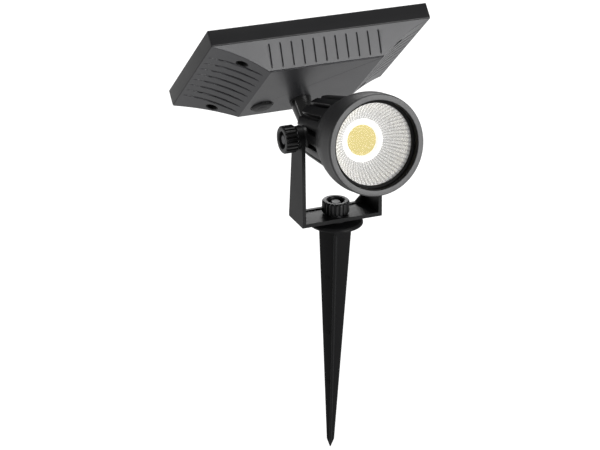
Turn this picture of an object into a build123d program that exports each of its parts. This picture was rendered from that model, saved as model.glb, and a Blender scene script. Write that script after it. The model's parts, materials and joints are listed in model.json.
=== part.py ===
from build123d import *
import os
from math import atan2, cos, degrees, hypot, radians, sin

# Solar garden spotlight on a ground stake. Millimetres and degrees, +Z up.
# The origin is the middle of the stake flange's underside, which rests on the soil.
# X runs along the yoke's pivot, the lamp shines towards -Y and the solar head stands behind it.

# ---------------------------------------------------------------- driving dimensions
rest_gap = 0.2          # air between faces that turn or slide against each other
running_fit = 0.06      # radial clearance of a shaft that turns in its hole
slip_fit = 0.1          # clearance round a piece that stays in its seat

# Ground stake
stake_length = 192.4    # soil line to tip
stake_turn = -23.5      # the cross of fins is turned about Z from the yoke
fin_half_width = 12.4
fin_thickness = 2.6
fin_taper_end = 2.9     # half width where the point begins
point_length = 7.0
core_radius = 4.6
core_taper = 2.0
core_below_socket = 2.0
flange_radius = 20.8
flange_thickness = 3.0
flange_rounding = 1.8
hub_radius = 9.5
hub_height = 5.0        # soil line to the hub's top, on which the yoke turns
socket_depth = 12.0     # depth of the bolt bore below the soil line
rib_leg = 6.0           # legs of the ribs between the flange and the fins
rib_overlap = 1.0

# Yoke
yoke_width = 64.4
yoke_depth = 25.7
yoke_wall = 2.8
yoke_floor = 2.2
lip_width = 2.4
lip_height = 3.0
gusset_leg = 8.0
arm_top_radius = 8.75
pad_thickness = 1.5     # round pads on the outside of the arms
pivot_height = 72.45    # soil line to the lamp's pivot axis

# Clamping knobs, three alike
knob_radius = 10.3
knob_length = 9.4
knob_ribs = 20
knob_rib_radius = 1.05
knob_recess_radius = 6.2
knob_recess_depth = 3.6
knob_bevel = 1.0
knob_bevel_angle = 30.0
washer_thickness = 0.8
washer_radius = 7.6
bolt_radius = 2.45
bolt_head_width = 8.0   # across flats
bolt_head_height = 2.4
bolt_head_flat = 1.4      # straight part of the head, under its dome
bolt_dome_angle = 40.0
bolt_point = 0.4
bolt_end_gap = 2.0       # between a bolt's end and the bottom of its bore
nut_height = 4.0

# Lamp head, measured along its axis from the pivot, forwards
lamp_pitch = 12.4       # the lamp looks up by this angle
lamp_front = 69.4
bezel_radius = 36.0
bezel_bulge = 0.6
bezel_opening = 32.0
bezel_recess = 5.4      # depth of the black recess in front of the glass
bezel_lip = 1.2
bezel_bevel = 0.6
bezel_front_band = 3.4    # the ring widens over this depth
bezel_step = 8.0         # length of the cone inside, in front of the heat spreader
bezel_back = 29.4
bezel_back_radius = 30.2
bezel_belt = 57.0       # the flare starts here
glass_view_radius = 29.6
glass_radius = 31.4
glass_thickness = 1.6
seal_thickness = 0.5
reflector_wall = 1.2
reflector_throat = 15.9
reflector_rim = 31.2
reflector_mouth = 29.3
chip_plane = 42.6       # front face of the light source's board
chip_radius = 11.1
chip_thickness = 0.6
board_radius = 14.6
board_thickness = 1.2
holder_height = 2.0
holder_bevel = 1.4
spreader_thickness = 3.6
spreader_screw_circle = 18.6
spreader_screw_radius = 1.5
collar_radius = 26.2
barrel_front_radius = 29.6
barrel_rear_radius = 25.0
barrel_rear = -17.8
barrel_back = -23.0
barrel_wall = 3.0
slot_count = 16
slot_width = 3.0
slot_depth = 2.2
slot_front = 22.0
barrel_corner = 1.0      # the flat back is this much wider than the tail bracket
bore_slope = 4.0         # bevel at the bottom of the bore
bore_slope_depth = 2.0
boss_radius = 8.4
boss_depth = 9.8
boss_face = 28.6        # half distance between the bosses' faces
insert_radius = 4.0
insert_length = 9.0
pivot_washer_thickness = 0.5

# Tail bracket, hinge and neck
tail_disc_radius = 17.0
tail_disc_thickness = 2.6
tail_screw_circle = 13.2
tail_arm_radius = 9.0
tail_eye_radius = 6.8
cheek_thickness = 4.0
tongue_width = 10.0
tongue_thickness = 11.0
knuckle_radius = 6.4
hinge_radius = 2.0      # hinge bolt
hinge_head_radius = 3.8
hinge_head_height = 2.0
hinge_nut_flat = 3.5     # half across flats
hinge_nut_height = 3.0
cross_width = 0.9        # cross recess in the screw heads
cross_depth = 0.9
hinge_drop = 27.25      # underside of the solar head to the hinge axis
neck_base_radius = 8.6
neck_end_radius = 6.1
neck_cone_length = 17.85
neck_shank_radius = 7.0
neck_bore = 2.6
neck_bevel = 1.0
shank_past_nut = 1.2
wire_hole_radius = 2.0   # where the wires leave the neck
wire_hole_back = 7.0
neck_boss_height = 5.7   # inner boss of the housing round the neck
neck_nut_radius = 10.6
neck_nut_height = 2.6
neck_nut_notch = 1.6

# Solar head
head_pitch = 42.53      # slope of the panel, its front edge high
panel_width = 175.5
panel_height = 111.1
rim_height = 12.7
rim_wall = 2.4
rim_rounding = 1.0
ledge_floor = 0.6        # left under the screw holes in the ledge
ledge_width = 8.4
ledge_thickness = 3.7
head_centre_y = 69.02   # centre of the rim's lower plane
head_centre_z = 102.88
housing_depth = 22.4
housing_wall = 2.0
shadow_line = 0.4       # the housing is this much smaller than the rim
side_inset = 42.9       # the side slopes' run
front_inset = 8.8
rear_inset = 16.8
side_sag = 2.1          # hollow of the side slopes
tongue_wall = 2.2
side_shelf = 8.0
front_shelf = 4.7
post_radius = 5.4
seat_clearance = 0.6     # round a screw's head
slope_wall = 2.5
slope_wall_side = 0.8
groove_rim_gap = 4.0     # from the rim's edge to the side grooves
groove_floor_gap = 4.0   # from the side grooves to the underside's edge
groove_end_sink = 1.2    # the grooves' ends, below the slope's chord
gasket_thickness = 1.0
panel_glass_thickness = 2.8
cell_thickness = 0.4
backing_thickness = 1.0
cell_columns = 6
cell_rows = 2
cell_gap = 0.9
cell_margin = 5.0
front_grooves = 11
front_groove_pitch = 8.74
front_groove_length = 17.8
side_grooves = 8
side_groove_pitch = 9.9
side_groove_middle = 2.2
groove_width = 0.9
groove_depth = 0.9
screw_u = 62.6
screw_w = 41.0
screw_head_radius = 2.9
screw_head_height = 2.0
screw_radius = 1.4
screw_in_ledge = 1.0     # left between a screw's end and the ledge's top
screw_seat = 4.4        # depth of the screw heads' seats
neck_w = -19.5          # place of the neck on the underside

# Push button and electronics
button_u = -30.7
button_w = -21.8
button_radius = 8.2
button_proud = 2.6
button_travel = 1.2
plunger_radius = 1.7
switch_size = 12.0
switch_height = 4.4
switch_well = 2.2        # bottom of the plunger's hole, below its full stroke
plunger_depth = 2.0      # part of the plunger inside the switch at rest
plunger_gap = 0.4
button_flange = 1.4
button_flange_width = 1.0
button_crown = 1.6
button_crown_angle = 50.0
stem_wall = 1.2
control_length = 36.0
control_width = 34.0
control_thickness = 1.6
control_depth = 11.0
board_post_inset = 3.0
board_post_radius = 2.4
battery_radius = 9.2
battery_length = 65.0
battery_w = 24.0
battery_depth = 9.6
cradle_wall = 1.6

# ---------------------------------------------------------------- places worked out from them
yoke_base = hub_height + rest_gap
yoke_half = yoke_width / 2
knob_stand = washer_thickness + 2 * rest_gap
seal_front = lamp_front - bezel_recess - bezel_lip
glass_front = seal_front - seal_thickness
glass_back = glass_front - glass_thickness
spreader_front = chip_plane - board_thickness
spreader_back = spreader_front - spreader_thickness
holder_front = chip_plane + holder_height
tail_plane = barrel_back - tail_disc_thickness

X = Vector(1, 0, 0)
pivot = Vector(0, 0, pivot_height)
beam = Vector(0, -cos(radians(lamp_pitch)), sin(radians(lamp_pitch)))
down = Vector(0, -sin(radians(head_pitch)), -cos(radians(head_pitch)))   # out of the underside
uphill = Vector(0, -cos(radians(head_pitch)), sin(radians(head_pitch)))  # to the head's front edge
head_centre = Vector(0, head_centre_y, head_centre_z)
hinge_depth = housing_depth + hinge_drop
hinge = head_centre + uphill * neck_w + down * hinge_depth
lamp_axis = Axis(pivot, beam)
neck_axis = Axis(head_centre + uphill * neck_w, down)


def lamp_face(distance):
    """Plane across the lamp, at a distance in front of the pivot."""
    return Plane(origin=pivot + beam * distance, x_dir=X, z_dir=beam)


def lamp_section():
    """Plane through the lamp's axis: x is the radius and y runs forwards."""
    return Plane(origin=pivot, x_dir=X, z_dir=X.cross(beam))


def head_face(depth):
    """Plane along the solar head: x is u, y runs uphill, z points out of the underside."""
    return Plane(origin=head_centre + down * depth, x_dir=X, z_dir=down)


def across_head(w):
    """Plane of a cut across the head: x is u and y is the depth."""
    return Plane(origin=head_centre + uphill * w, x_dir=X, z_dir=X.cross(down))


def along_head():
    """Plane of the head's long cut: x runs uphill and y is the depth."""
    return Plane(origin=head_centre, x_dir=uphill, z_dir=X)


def neck_section():
    """Plane through the neck's axis: x is the radius and y is the depth."""
    return Plane(origin=head_centre + uphill * neck_w, x_dir=X, z_dir=X.cross(down))


# ---------------------------------------------------------------- ground stake
with BuildPart() as ground_stake:
    with BuildSketch(Plane.XY):
        Circle(flange_radius)
    extrude(amount=flange_thickness)
    fillet(ground_stake.edges().group_by(Axis.Z)[-1], radius=flange_rounding)
    with BuildSketch(Plane.XY):
        Circle(hub_radius)
    extrude(amount=hub_height)
    with BuildSketch(Plane.XY):
        Circle(core_radius)
    extrude(amount=-(socket_depth + core_below_socket), taper=core_taper)
    for turn in (0, 90):
        with BuildSketch(Plane.XZ.rotated((0, 0, stake_turn + turn))):
            with BuildLine():
                Polyline(
                    (-fin_half_width, 0),
                    (-fin_taper_end, -stake_length + point_length),
                    (0, -stake_length),
                    (fin_taper_end, -stake_length + point_length),
                    (fin_half_width, 0),
                    close=True,
                )
            make_face()
            with BuildLine():
                Polyline(
                    (-fin_half_width - rib_leg, 0),
                    (-fin_half_width + rib_overlap, -rib_leg),
                    (fin_half_width - rib_overlap, -rib_leg),
                    (fin_half_width + rib_leg, 0),
                    close=True,
                )
            make_face()
        extrude(amount=fin_thickness / 2, both=True)
    with BuildSketch(Plane.XY.offset(hub_height)):
        RegularPolygon(bolt_head_width / 2 + slip_fit, 6, major_radius=False)
    extrude(amount=-nut_height, mode=Mode.SUBTRACT)
    with BuildSketch(Plane.XY.offset(hub_height)):
        Circle(bolt_radius + slip_fit)
    extrude(amount=-(hub_height + socket_depth), mode=Mode.SUBTRACT)

with BuildPart() as stake_nut:
    with BuildSketch(Plane.XY.offset(hub_height - nut_height)):
        RegularPolygon(bolt_head_width / 2, 6, major_radius=False)
        Circle(bolt_radius + running_fit, mode=Mode.SUBTRACT)
    extrude(amount=nut_height - slip_fit)

# ---------------------------------------------------------------- yoke
with BuildPart() as yoke_bracket:
    with BuildSketch(Plane.XY.offset(yoke_base)):
        with Locations((yoke_half / 2, 0)):
            Rectangle(yoke_half, yoke_depth)
    extrude(amount=yoke_floor)
    with BuildSketch(Plane.XY.offset(yoke_base)):
        with Locations((yoke_half / 2, yoke_depth / 2 - lip_width / 2)):
            Rectangle(yoke_half, lip_width)
        with Locations((yoke_half / 2, -yoke_depth / 2 + lip_width / 2)):
            Rectangle(yoke_half, lip_width)
    extrude(amount=lip_height)
    with BuildSketch(Plane.YZ.offset(yoke_half - yoke_wall)):
        with Locations((0, yoke_base + lip_height / 2)):
            Rectangle(yoke_depth, lip_height)
        with Locations((0, pivot_height)):
            Circle(arm_top_radius)
        make_hull()
    extrude(amount=yoke_wall)
    with BuildSketch(Plane.YZ.offset(yoke_half)):
        with Locations((0, pivot_height)):
            Circle(arm_top_radius)
    extrude(amount=pad_thickness)
    with BuildSketch(Plane.XZ.offset(-yoke_depth / 2)):
        with BuildLine():
            Polyline(
                (yoke_half - yoke_wall - gusset_leg, yoke_base + lip_height),
                (yoke_half - yoke_wall, yoke_base + lip_height),
                (yoke_half - yoke_wall, yoke_base + lip_height + gusset_leg),
                close=True,
            )
        make_face()
    extrude(amount=lip_width)
    mirror(about=Plane.YZ)
    with BuildSketch(Plane.XY.offset(yoke_base)):
        Circle(bolt_radius + running_fit)
    extrude(amount=yoke_floor, mode=Mode.SUBTRACT)
    with BuildSketch(Plane.YZ):
        with Locations((0, pivot_height)):
            Circle(bolt_radius + running_fit)
    extrude(amount=yoke_width, both=True, mode=Mode.SUBTRACT)


# ---------------------------------------------------------------- clamping knobs
def knob_grip(seat):
    """Ribbed hand knob that stands on the plane seat, with a recess for the bolt's head."""
    body_radius = knob_radius - knob_rib_radius / 2
    with BuildPart() as grip:
        with BuildSketch(seat):
            Circle(body_radius)
            with PolarLocations(body_radius - knob_rib_radius / 2, knob_ribs):
                Circle(knob_rib_radius)
        extrude(amount=knob_length - knob_bevel)
        with BuildSketch(seat.offset(knob_length - knob_bevel)):
            Circle(body_radius)
        extrude(amount=knob_bevel, taper=knob_bevel_angle)
        with BuildSketch(seat.offset(knob_length)):
            Circle(knob_recess_radius)
        extrude(amount=-knob_recess_depth, mode=Mode.SUBTRACT)
        with BuildSketch(seat):
            Circle(bolt_radius + slip_fit)
        extrude(amount=knob_length, mode=Mode.SUBTRACT)
    return grip.part


def knob_bolt(seat, reach):
    """Bolt with a domed hexagon head in the knob's recess and a shank that passes the seat."""
    head_seat = knob_length - knob_recess_depth
    with BuildPart() as bolt:
        with BuildSketch(seat.offset(head_seat)):
            RegularPolygon(bolt_head_width / 2, 6, major_radius=False)
        extrude(amount=bolt_head_flat)
        with BuildSketch(seat.offset(head_seat + bolt_head_flat)):
            Circle(bolt_head_width / 2)
        extrude(amount=bolt_head_height - bolt_head_flat, taper=bolt_dome_angle)
        with BuildSketch(seat.offset(head_seat)):
            Circle(bolt_radius)
        extrude(amount=-(head_seat + reach))
        chamfer(bolt.edges().sort_by(Axis(seat.origin, seat.z_dir))[0], length=bolt_point)
    return bolt.part


def knob_washer(seat):
    """Washer between the knob and the face that it clamps."""
    with BuildPart() as washer:
        with BuildSketch(seat.offset(-rest_gap)):
            Circle(washer_radius)
            Circle(bolt_radius + running_fit, mode=Mode.SUBTRACT)
        extrude(amount=-washer_thickness)
    return washer.part


swivel_seat = Plane.XY.offset(yoke_base + yoke_floor + knob_stand)
side_seat = yoke_half + pad_thickness + knob_stand
side_reach = side_seat - (boss_face - insert_length)
knob_seats = {
    "swivel": (swivel_seat, swivel_seat.origin.Z + socket_depth - bolt_end_gap),
    "left": (Plane(origin=(-side_seat, 0, pivot_height), x_dir=(0, 1, 0), z_dir=(-1, 0, 0)), side_reach),
    "right": (Plane(origin=(side_seat, 0, pivot_height), x_dir=(0, 1, 0), z_dir=(1, 0, 0)), side_reach),
}

# ---------------------------------------------------------------- lamp head
with BuildPart() as lamp_bezel:
    wide = bezel_radius + bezel_bulge
    with BuildSketch(lamp_section()):
        with BuildLine():
            Polyline(
                (bezel_opening, lamp_front),
                (bezel_radius - bezel_bevel, lamp_front),
                (bezel_radius, lamp_front - bezel_bevel),
                (wide, lamp_front - bezel_front_band),
                (wide, bezel_belt),
            )
            Spline(
                (wide, bezel_belt),
                (bezel_back_radius, bezel_back + bezel_bevel),
                tangents=[(0, -1), (-0.15, -1)],
            )
            Polyline(
                (bezel_back_radius, bezel_back + bezel_bevel),
                (bezel_back_radius - bezel_bevel, bezel_back),
                (collar_radius + slip_fit, bezel_back),
                (collar_radius + slip_fit, spreader_front + slip_fit),
                (glass_radius + slip_fit, spreader_front + bezel_step),
                (glass_radius + slip_fit, seal_front),
                (glass_view_radius, seal_front),
                (glass_view_radius, seal_front + bezel_lip),
                (bezel_opening, seal_front + bezel_lip),
                (bezel_opening, lamp_front),
            )
        make_face()
    revolve(axis=lamp_axis)

with BuildPart() as glass_seal:
    with BuildSketch(lamp_face(glass_front)):
        Circle(glass_radius)
        Circle(glass_view_radius, mode=Mode.SUBTRACT)
    extrude(amount=seal_thickness)

with BuildPart() as front_glass:
    with BuildSketch(lamp_face(glass_back)):
        Circle(glass_radius)
    extrude(amount=glass_thickness)

with BuildPart() as reflector:
    with BuildSketch(lamp_section()):
        with BuildLine():
            Spline(
                (reflector_throat, holder_front),
                (reflector_mouth, glass_back),
                tangents=[(1, 0.45), (0.5, 1)],
            )
            Polyline(
                (reflector_mouth, glass_back),
                (reflector_rim, glass_back),
                (reflector_rim, glass_back - reflector_wall),
                (glass_view_radius, glass_back - reflector_wall),
            )
            Spline(
                (glass_view_radius, glass_back - reflector_wall),
                (reflector_throat, holder_front - reflector_wall),
                tangents=[(-0.5, -1), (-1, -0.45)],
            )
            Line((reflector_throat, holder_front - reflector_wall), (reflector_throat, holder_front))
        make_face()
    revolve(axis=lamp_axis)

with BuildPart() as chip_holder:
    with BuildSketch(lamp_face(chip_plane)):
        Circle(reflector_throat - slip_fit)
        Circle(chip_radius + slip_fit, mode=Mode.SUBTRACT)
    extrude(amount=holder_height)
    inner = chip_holder.edges().filter_by(GeomType.CIRCLE).sort_by(SortBy.RADIUS)[:2]
    chamfer(inner.sort_by(Axis(pivot, beam))[-1], length=holder_bevel)

with BuildPart() as chip_board:
    with BuildSketch(lamp_face(spreader_front)):
        Circle(board_radius)
    extrude(amount=board_thickness)

with BuildPart() as light_chip:
    with BuildSketch(lamp_face(chip_plane)):
        Circle(chip_radius)
    extrude(amount=chip_thickness)

with BuildPart() as heat_spreader:
    with BuildSketch(lamp_face(spreader_back)):
        Circle(collar_radius - slip_fit)
        with PolarLocations(spreader_screw_circle, 4):
            Circle(spreader_screw_radius, mode=Mode.SUBTRACT)
    extrude(amount=spreader_thickness)

with BuildPart() as lamp_housing:
    bore = barrel_rear_radius - slot_depth - barrel_wall
    with BuildSketch(lamp_section()):
        with BuildLine():
            Polyline(
                (0, barrel_back),
                (tail_disc_radius + barrel_corner, barrel_back),
                (barrel_rear_radius, barrel_rear),
                (barrel_front_radius, bezel_back - slip_fit),
                (collar_radius, bezel_back - slip_fit),
                (collar_radius, spreader_back - slip_fit),
                (bore, spreader_back - slip_fit),
                (bore, barrel_back + barrel_wall + bore_slope_depth),
                (bore - bore_slope, barrel_back + barrel_wall),
                (0, barrel_back + barrel_wall),
                close=True,
            )
        make_face()
    revolve(axis=lamp_axis)
    with BuildSketch(lamp_face(barrel_back)):
        with PolarLocations(barrel_front_radius, slot_count, start_angle=180 / slot_count):
            Rectangle(2 * (barrel_front_radius - barrel_rear_radius + slot_depth), slot_width)
    extrude(amount=slot_front - barrel_back, mode=Mode.SUBTRACT)
    for side in (-1, 1):
        with BuildSketch(Plane.YZ.offset(side * boss_face)):
            with Locations((0, pivot_height)):
                Circle(boss_radius)
        extrude(amount=-side * boss_depth)
    with BuildSketch(Plane.YZ):
        with Locations((0, pivot_height)):
            Circle(insert_radius)
    extrude(amount=boss_face, both=True, mode=Mode.SUBTRACT)
    with BuildSketch(lamp_face(barrel_back)):
        Circle(neck_bore)
        with PolarLocations(tail_screw_circle, 3, angular_range=180, endpoint=True):
            Circle(screw_radius)
    extrude(amount=barrel_wall, mode=Mode.SUBTRACT)

with BuildPart() as pivot_inserts:
    for side in (-1, 1):
        with BuildSketch(Plane.YZ.offset(side * boss_face)):
            with Locations((0, pivot_height)):
                Circle(insert_radius)
                Circle(bolt_radius + running_fit, mode=Mode.SUBTRACT)
        extrude(amount=-side * insert_length)

with BuildPart() as pivot_washers:
    for side in (-1, 1):
        with BuildSketch(Plane.YZ.offset(side * boss_face)):
            with Locations((0, pivot_height)):
                Circle(boss_radius)
                Circle(bolt_radius + running_fit, mode=Mode.SUBTRACT)
        extrude(amount=side * pivot_washer_thickness)

# ---------------------------------------------------------------- tail bracket and hinge
slot_half = tongue_width / 2 + rest_gap
cheek_face = slot_half + cheek_thickness
tail_root = pivot + beam * tail_plane
eye_plane = Plane(origin=hinge, x_dir=hinge - tail_root, z_dir=X)   # x runs away from the lamp
with BuildPart() as tail_bracket:
    with BuildSketch(lamp_face(barrel_back)):
        Circle(tail_disc_radius)
    extrude(amount=-tail_disc_thickness)
    with BuildSketch(Plane.YZ):
        with Locations((tail_root.Y, tail_root.Z)):
            Circle(tail_arm_radius)
        with Locations((hinge.Y, hinge.Z)):
            Circle(tail_eye_radius)
        make_hull()
    extrude(amount=cheek_face, both=True)
    with BuildSketch(lamp_face(barrel_back)):
        Circle(2 * tail_disc_radius)
    extrude(amount=barrel_wall + tail_arm_radius, mode=Mode.SUBTRACT)
    with BuildSketch(eye_plane):
        with Locations((-knuckle_radius - 3 * rest_gap, 0)):
            Rectangle(4 * tail_eye_radius, 4 * tail_eye_radius, align=(Align.MIN, Align.CENTER))
    extrude(amount=slot_half, both=True, mode=Mode.SUBTRACT)
    with BuildSketch(Plane.YZ):
        with Locations((hinge.Y, hinge.Z)):
            Circle(hinge_radius + running_fit)
    extrude(amount=cheek_face, both=True, mode=Mode.SUBTRACT)
    with BuildSketch(lamp_face(barrel_back)):
        with PolarLocations(tail_screw_circle, 3, angular_range=180, endpoint=True):
            Circle(screw_radius + slip_fit)
    extrude(amount=-tail_disc_thickness, mode=Mode.SUBTRACT)

with BuildPart() as tail_screws:
    with BuildSketch(lamp_face(tail_plane)):
        with PolarLocations(tail_screw_circle, 3, angular_range=180, endpoint=True):
            Circle(screw_head_radius)
    extrude(amount=-screw_head_height)
    with BuildSketch(lamp_face(tail_plane)):
        with PolarLocations(tail_screw_circle, 3, angular_range=180, endpoint=True):
            Circle(screw_radius)
    extrude(amount=tail_disc_thickness + barrel_wall - bolt_point)

with BuildPart() as hinge_bolt:
    with BuildSketch(Plane.YZ.offset(-cheek_face)):
        with Locations((hinge.Y, hinge.Z)):
            Circle(hinge_head_radius)
    extrude(amount=-hinge_head_height)
    with BuildSketch(Plane.YZ.offset(-cheek_face)):
        with Locations((hinge.Y, hinge.Z)):
            Circle(hinge_radius)
    extrude(amount=2 * cheek_face + hinge_nut_height + bolt_point)
    with BuildSketch(Plane.YZ.offset(-cheek_face - hinge_head_height)):
        with Locations((hinge.Y, hinge.Z)):
            Rectangle(2 * screw_head_radius, cross_width)
            Rectangle(cross_width, 2 * screw_head_radius)
    extrude(amount=cross_depth, mode=Mode.SUBTRACT)

with BuildPart() as hinge_nut:
    with BuildSketch(Plane.YZ.offset(cheek_face)):
        with Locations((hinge.Y, hinge.Z)):
            RegularPolygon(hinge_nut_flat, 6, major_radius=False)
            Circle(hinge_radius + running_fit, mode=Mode.SUBTRACT)
    extrude(amount=hinge_nut_height)

# ---------------------------------------------------------------- neck
neck_top = housing_depth - housing_wall - neck_boss_height
shank_end = neck_top - neck_nut_height - shank_past_nut
cone_start = housing_depth + rest_gap
cone_end = cone_start + neck_cone_length
with BuildPart() as neck_stem:
    with BuildSketch(neck_section()):
        with BuildLine():
            Polyline(
                (0, shank_end),
                (neck_shank_radius, shank_end),
                (neck_shank_radius, cone_start),
                (neck_base_radius, cone_start),
                (neck_end_radius, cone_end),
                (neck_end_radius - neck_bevel, cone_end + neck_bevel),
                (0, cone_end + neck_bevel),
                close=True,
            )
        make_face()
    revolve(axis=neck_axis)
    with BuildSketch(Plane(origin=hinge, x_dir=down, z_dir=X)):
        with Locations((cone_end - hinge_depth, 0)):
            Rectangle(hinge_depth - cone_end, tongue_thickness, align=(Align.MIN, Align.CENTER))
        Circle(knuckle_radius)
    extrude(amount=tongue_width / 2, both=True)
    with BuildSketch(Plane(origin=hinge, x_dir=down, z_dir=X)):
        Circle(hinge_radius + running_fit)
    extrude(amount=tongue_width, both=True, mode=Mode.SUBTRACT)
    with BuildSketch(Plane(origin=head_centre + uphill * neck_w + down * shank_end, x_dir=X, z_dir=down)):
        Circle(neck_bore)
    wire_hole = head_centre + uphill * neck_w + down * (cone_end - wire_hole_back)
    extrude(amount=cone_end - shank_end - wire_hole_back + neck_bore, mode=Mode.SUBTRACT)
    with BuildSketch(Plane(origin=wire_hole, x_dir=X, z_dir=uphill)):
        Circle(wire_hole_radius)
    extrude(amount=neck_base_radius, mode=Mode.SUBTRACT)

with BuildPart() as neck_nut:
    with BuildSketch(head_face(neck_top - rest_gap)):
        with Locations((0, neck_w)):
            Circle(neck_nut_radius)
            Circle(neck_shank_radius + running_fit, mode=Mode.SUBTRACT)
            with PolarLocations(neck_nut_radius, 6):
                Circle(neck_nut_notch, mode=Mode.SUBTRACT)
    extrude(amount=-neck_nut_height)

# ---------------------------------------------------------------- solar head: frame and panel
ledge_top = -rim_height + slip_fit * 2 + panel_glass_thickness + backing_thickness
seat_width = panel_width - 2 * rim_wall
seat_height = panel_height - 2 * rim_wall
with BuildPart() as panel_frame:
    with BuildSketch(head_face(0)) as outline:
        Rectangle(panel_width, panel_height)
        fillet(outline.vertices(), radius=rim_rounding)
    extrude(amount=-rim_height)
    with BuildSketch(head_face(0)):
        Rectangle(seat_width, seat_height)
    extrude(amount=-rim_height, mode=Mode.SUBTRACT)
    with BuildSketch(head_face(ledge_top)):
        Rectangle(seat_width, seat_height)
        Rectangle(panel_width - 2 * ledge_width, panel_height - 2 * ledge_width, mode=Mode.SUBTRACT)
        with GridLocations(2 * screw_u, 2 * screw_w, 2, 2):
            Circle(post_radius)
        with GridLocations(2 * screw_u, screw_w + seat_height / 2, 2, 2):
            Rectangle(2 * post_radius, seat_height / 2 - screw_w)
    extrude(amount=ledge_thickness)
    with BuildSketch(head_face(ledge_top + ledge_thickness)):
        with GridLocations(2 * screw_u, 2 * screw_w, 2, 2):
            Circle(screw_radius + running_fit)
    extrude(amount=ledge_floor - ledge_thickness, mode=Mode.SUBTRACT)

with BuildPart() as panel_glass:
    with BuildSketch(head_face(ledge_top - backing_thickness)):
        Rectangle(seat_width - 2 * slip_fit, seat_height - 2 * slip_fit)
    extrude(amount=-panel_glass_thickness)

field_width = seat_width - 2 * cell_margin
field_height = seat_height - 2 * cell_margin
with BuildPart() as cell_backing:
    with BuildSketch(head_face(ledge_top)):
        Rectangle(seat_width - 2 * slip_fit, seat_height - 2 * slip_fit)
    extrude(amount=-backing_thickness)
    with BuildSketch(head_face(ledge_top - backing_thickness)):
        Rectangle(field_width, field_height)
    extrude(amount=cell_thickness, mode=Mode.SUBTRACT)

cell_pitch_u = field_width / cell_columns
cell_pitch_w = field_height / cell_rows
with BuildPart() as solar_cells:
    with BuildSketch(head_face(ledge_top - backing_thickness + cell_thickness)):
        with GridLocations(cell_pitch_u, cell_pitch_w, cell_columns, cell_rows):
            Rectangle(cell_pitch_u - cell_gap, cell_pitch_w - cell_gap)
    extrude(amount=-cell_thickness)

gasket_top = ledge_top + ledge_thickness
tongue_outer_u = seat_width - 2 * slip_fit
tongue_outer_w = seat_height - 2 * slip_fit
with BuildPart() as housing_gasket:
    with BuildSketch(head_face(gasket_top)):
        Rectangle(tongue_outer_u, tongue_outer_w)
        Rectangle(tongue_outer_u - 2 * tongue_wall, tongue_outer_w - 2 * tongue_wall, mode=Mode.SUBTRACT)
    extrude(amount=gasket_thickness)


# ---------------------------------------------------------------- solar head: back housing
def housing_block(side, front, rear, side_floor, front_floor, rear_floor, floor):
    """Hipped block between depth 0 and floor, its edges drawn in from the panel's outline.

    side, front and rear are the insets at depth 0, and the others those at the floor.
    The two side slopes are hollow arcs, the front and rear slopes are flat."""
    half_u = panel_width / 2
    half_w = panel_height / 2
    run = side_floor - side
    reach = hypot(run, floor)
    middle_u = half_u - (side + side_floor) / 2 - side_sag * floor / reach
    middle_depth = floor / 2 - side_sag * run / reach
    with BuildPart() as block:
        with BuildSketch(across_head(0)):
            with BuildLine():
                Line((-half_u + side, 0), (half_u - side, 0))
                ThreePointArc((half_u - side, 0), (middle_u, middle_depth), (half_u - side_floor, floor))
                Line((half_u - side_floor, floor), (-half_u + side_floor, floor))
                ThreePointArc((-half_u + side_floor, floor), (-middle_u, middle_depth), (-half_u + side, 0))
            make_face()
        extrude(amount=half_w, both=True)
        with BuildSketch(along_head()):
            with BuildLine():
                Polyline(
                    (half_w - front, 0),
                    (half_w - front_floor, floor),
                    (-half_w + rear_floor, floor),
                    (-half_w + rear, 0),
                    close=True,
                )
            make_face()
        extrude(amount=half_u, both=True, mode=Mode.INTERSECT)
    return block.part


def side_slope_point(side, inset, lift):
    """Point on a cut across the head, this far in from the panel's edge and lifted off a side slope's chord."""
    depth = housing_depth * (inset - shadow_line) / (side_inset - shadow_line)
    return (side * (panel_width / 2 - inset), depth + lift)


inner_floor = housing_depth - housing_wall
outer_block = housing_block(
    shadow_line, shadow_line, shadow_line, side_inset, front_inset, rear_inset, housing_depth
)
inner_block = housing_block(
    side_shelf, front_shelf, front_shelf, side_inset + slope_wall_side,
    front_inset + slope_wall / 2, rear_inset + slope_wall / 2, inner_floor,
)
half_wall = housing_wall / 2
middle_block = housing_block(
    shadow_line + half_wall, shadow_line + half_wall, shadow_line + half_wall,
    side_inset + slope_wall_side / 2, front_inset + slope_wall / 4, rear_inset + slope_wall / 4,
    housing_depth - half_wall,
)
front_slope_lean = degrees(atan2(front_inset - shadow_line, housing_depth))
with BuildPart() as screw_posts:
    with BuildSketch(head_face(gasket_top)):
        with GridLocations(2 * screw_u, 2 * screw_w, 2, 2):
            Circle(post_radius)
    extrude(amount=housing_depth - gasket_top)
    add(middle_block, mode=Mode.INTERSECT)

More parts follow.
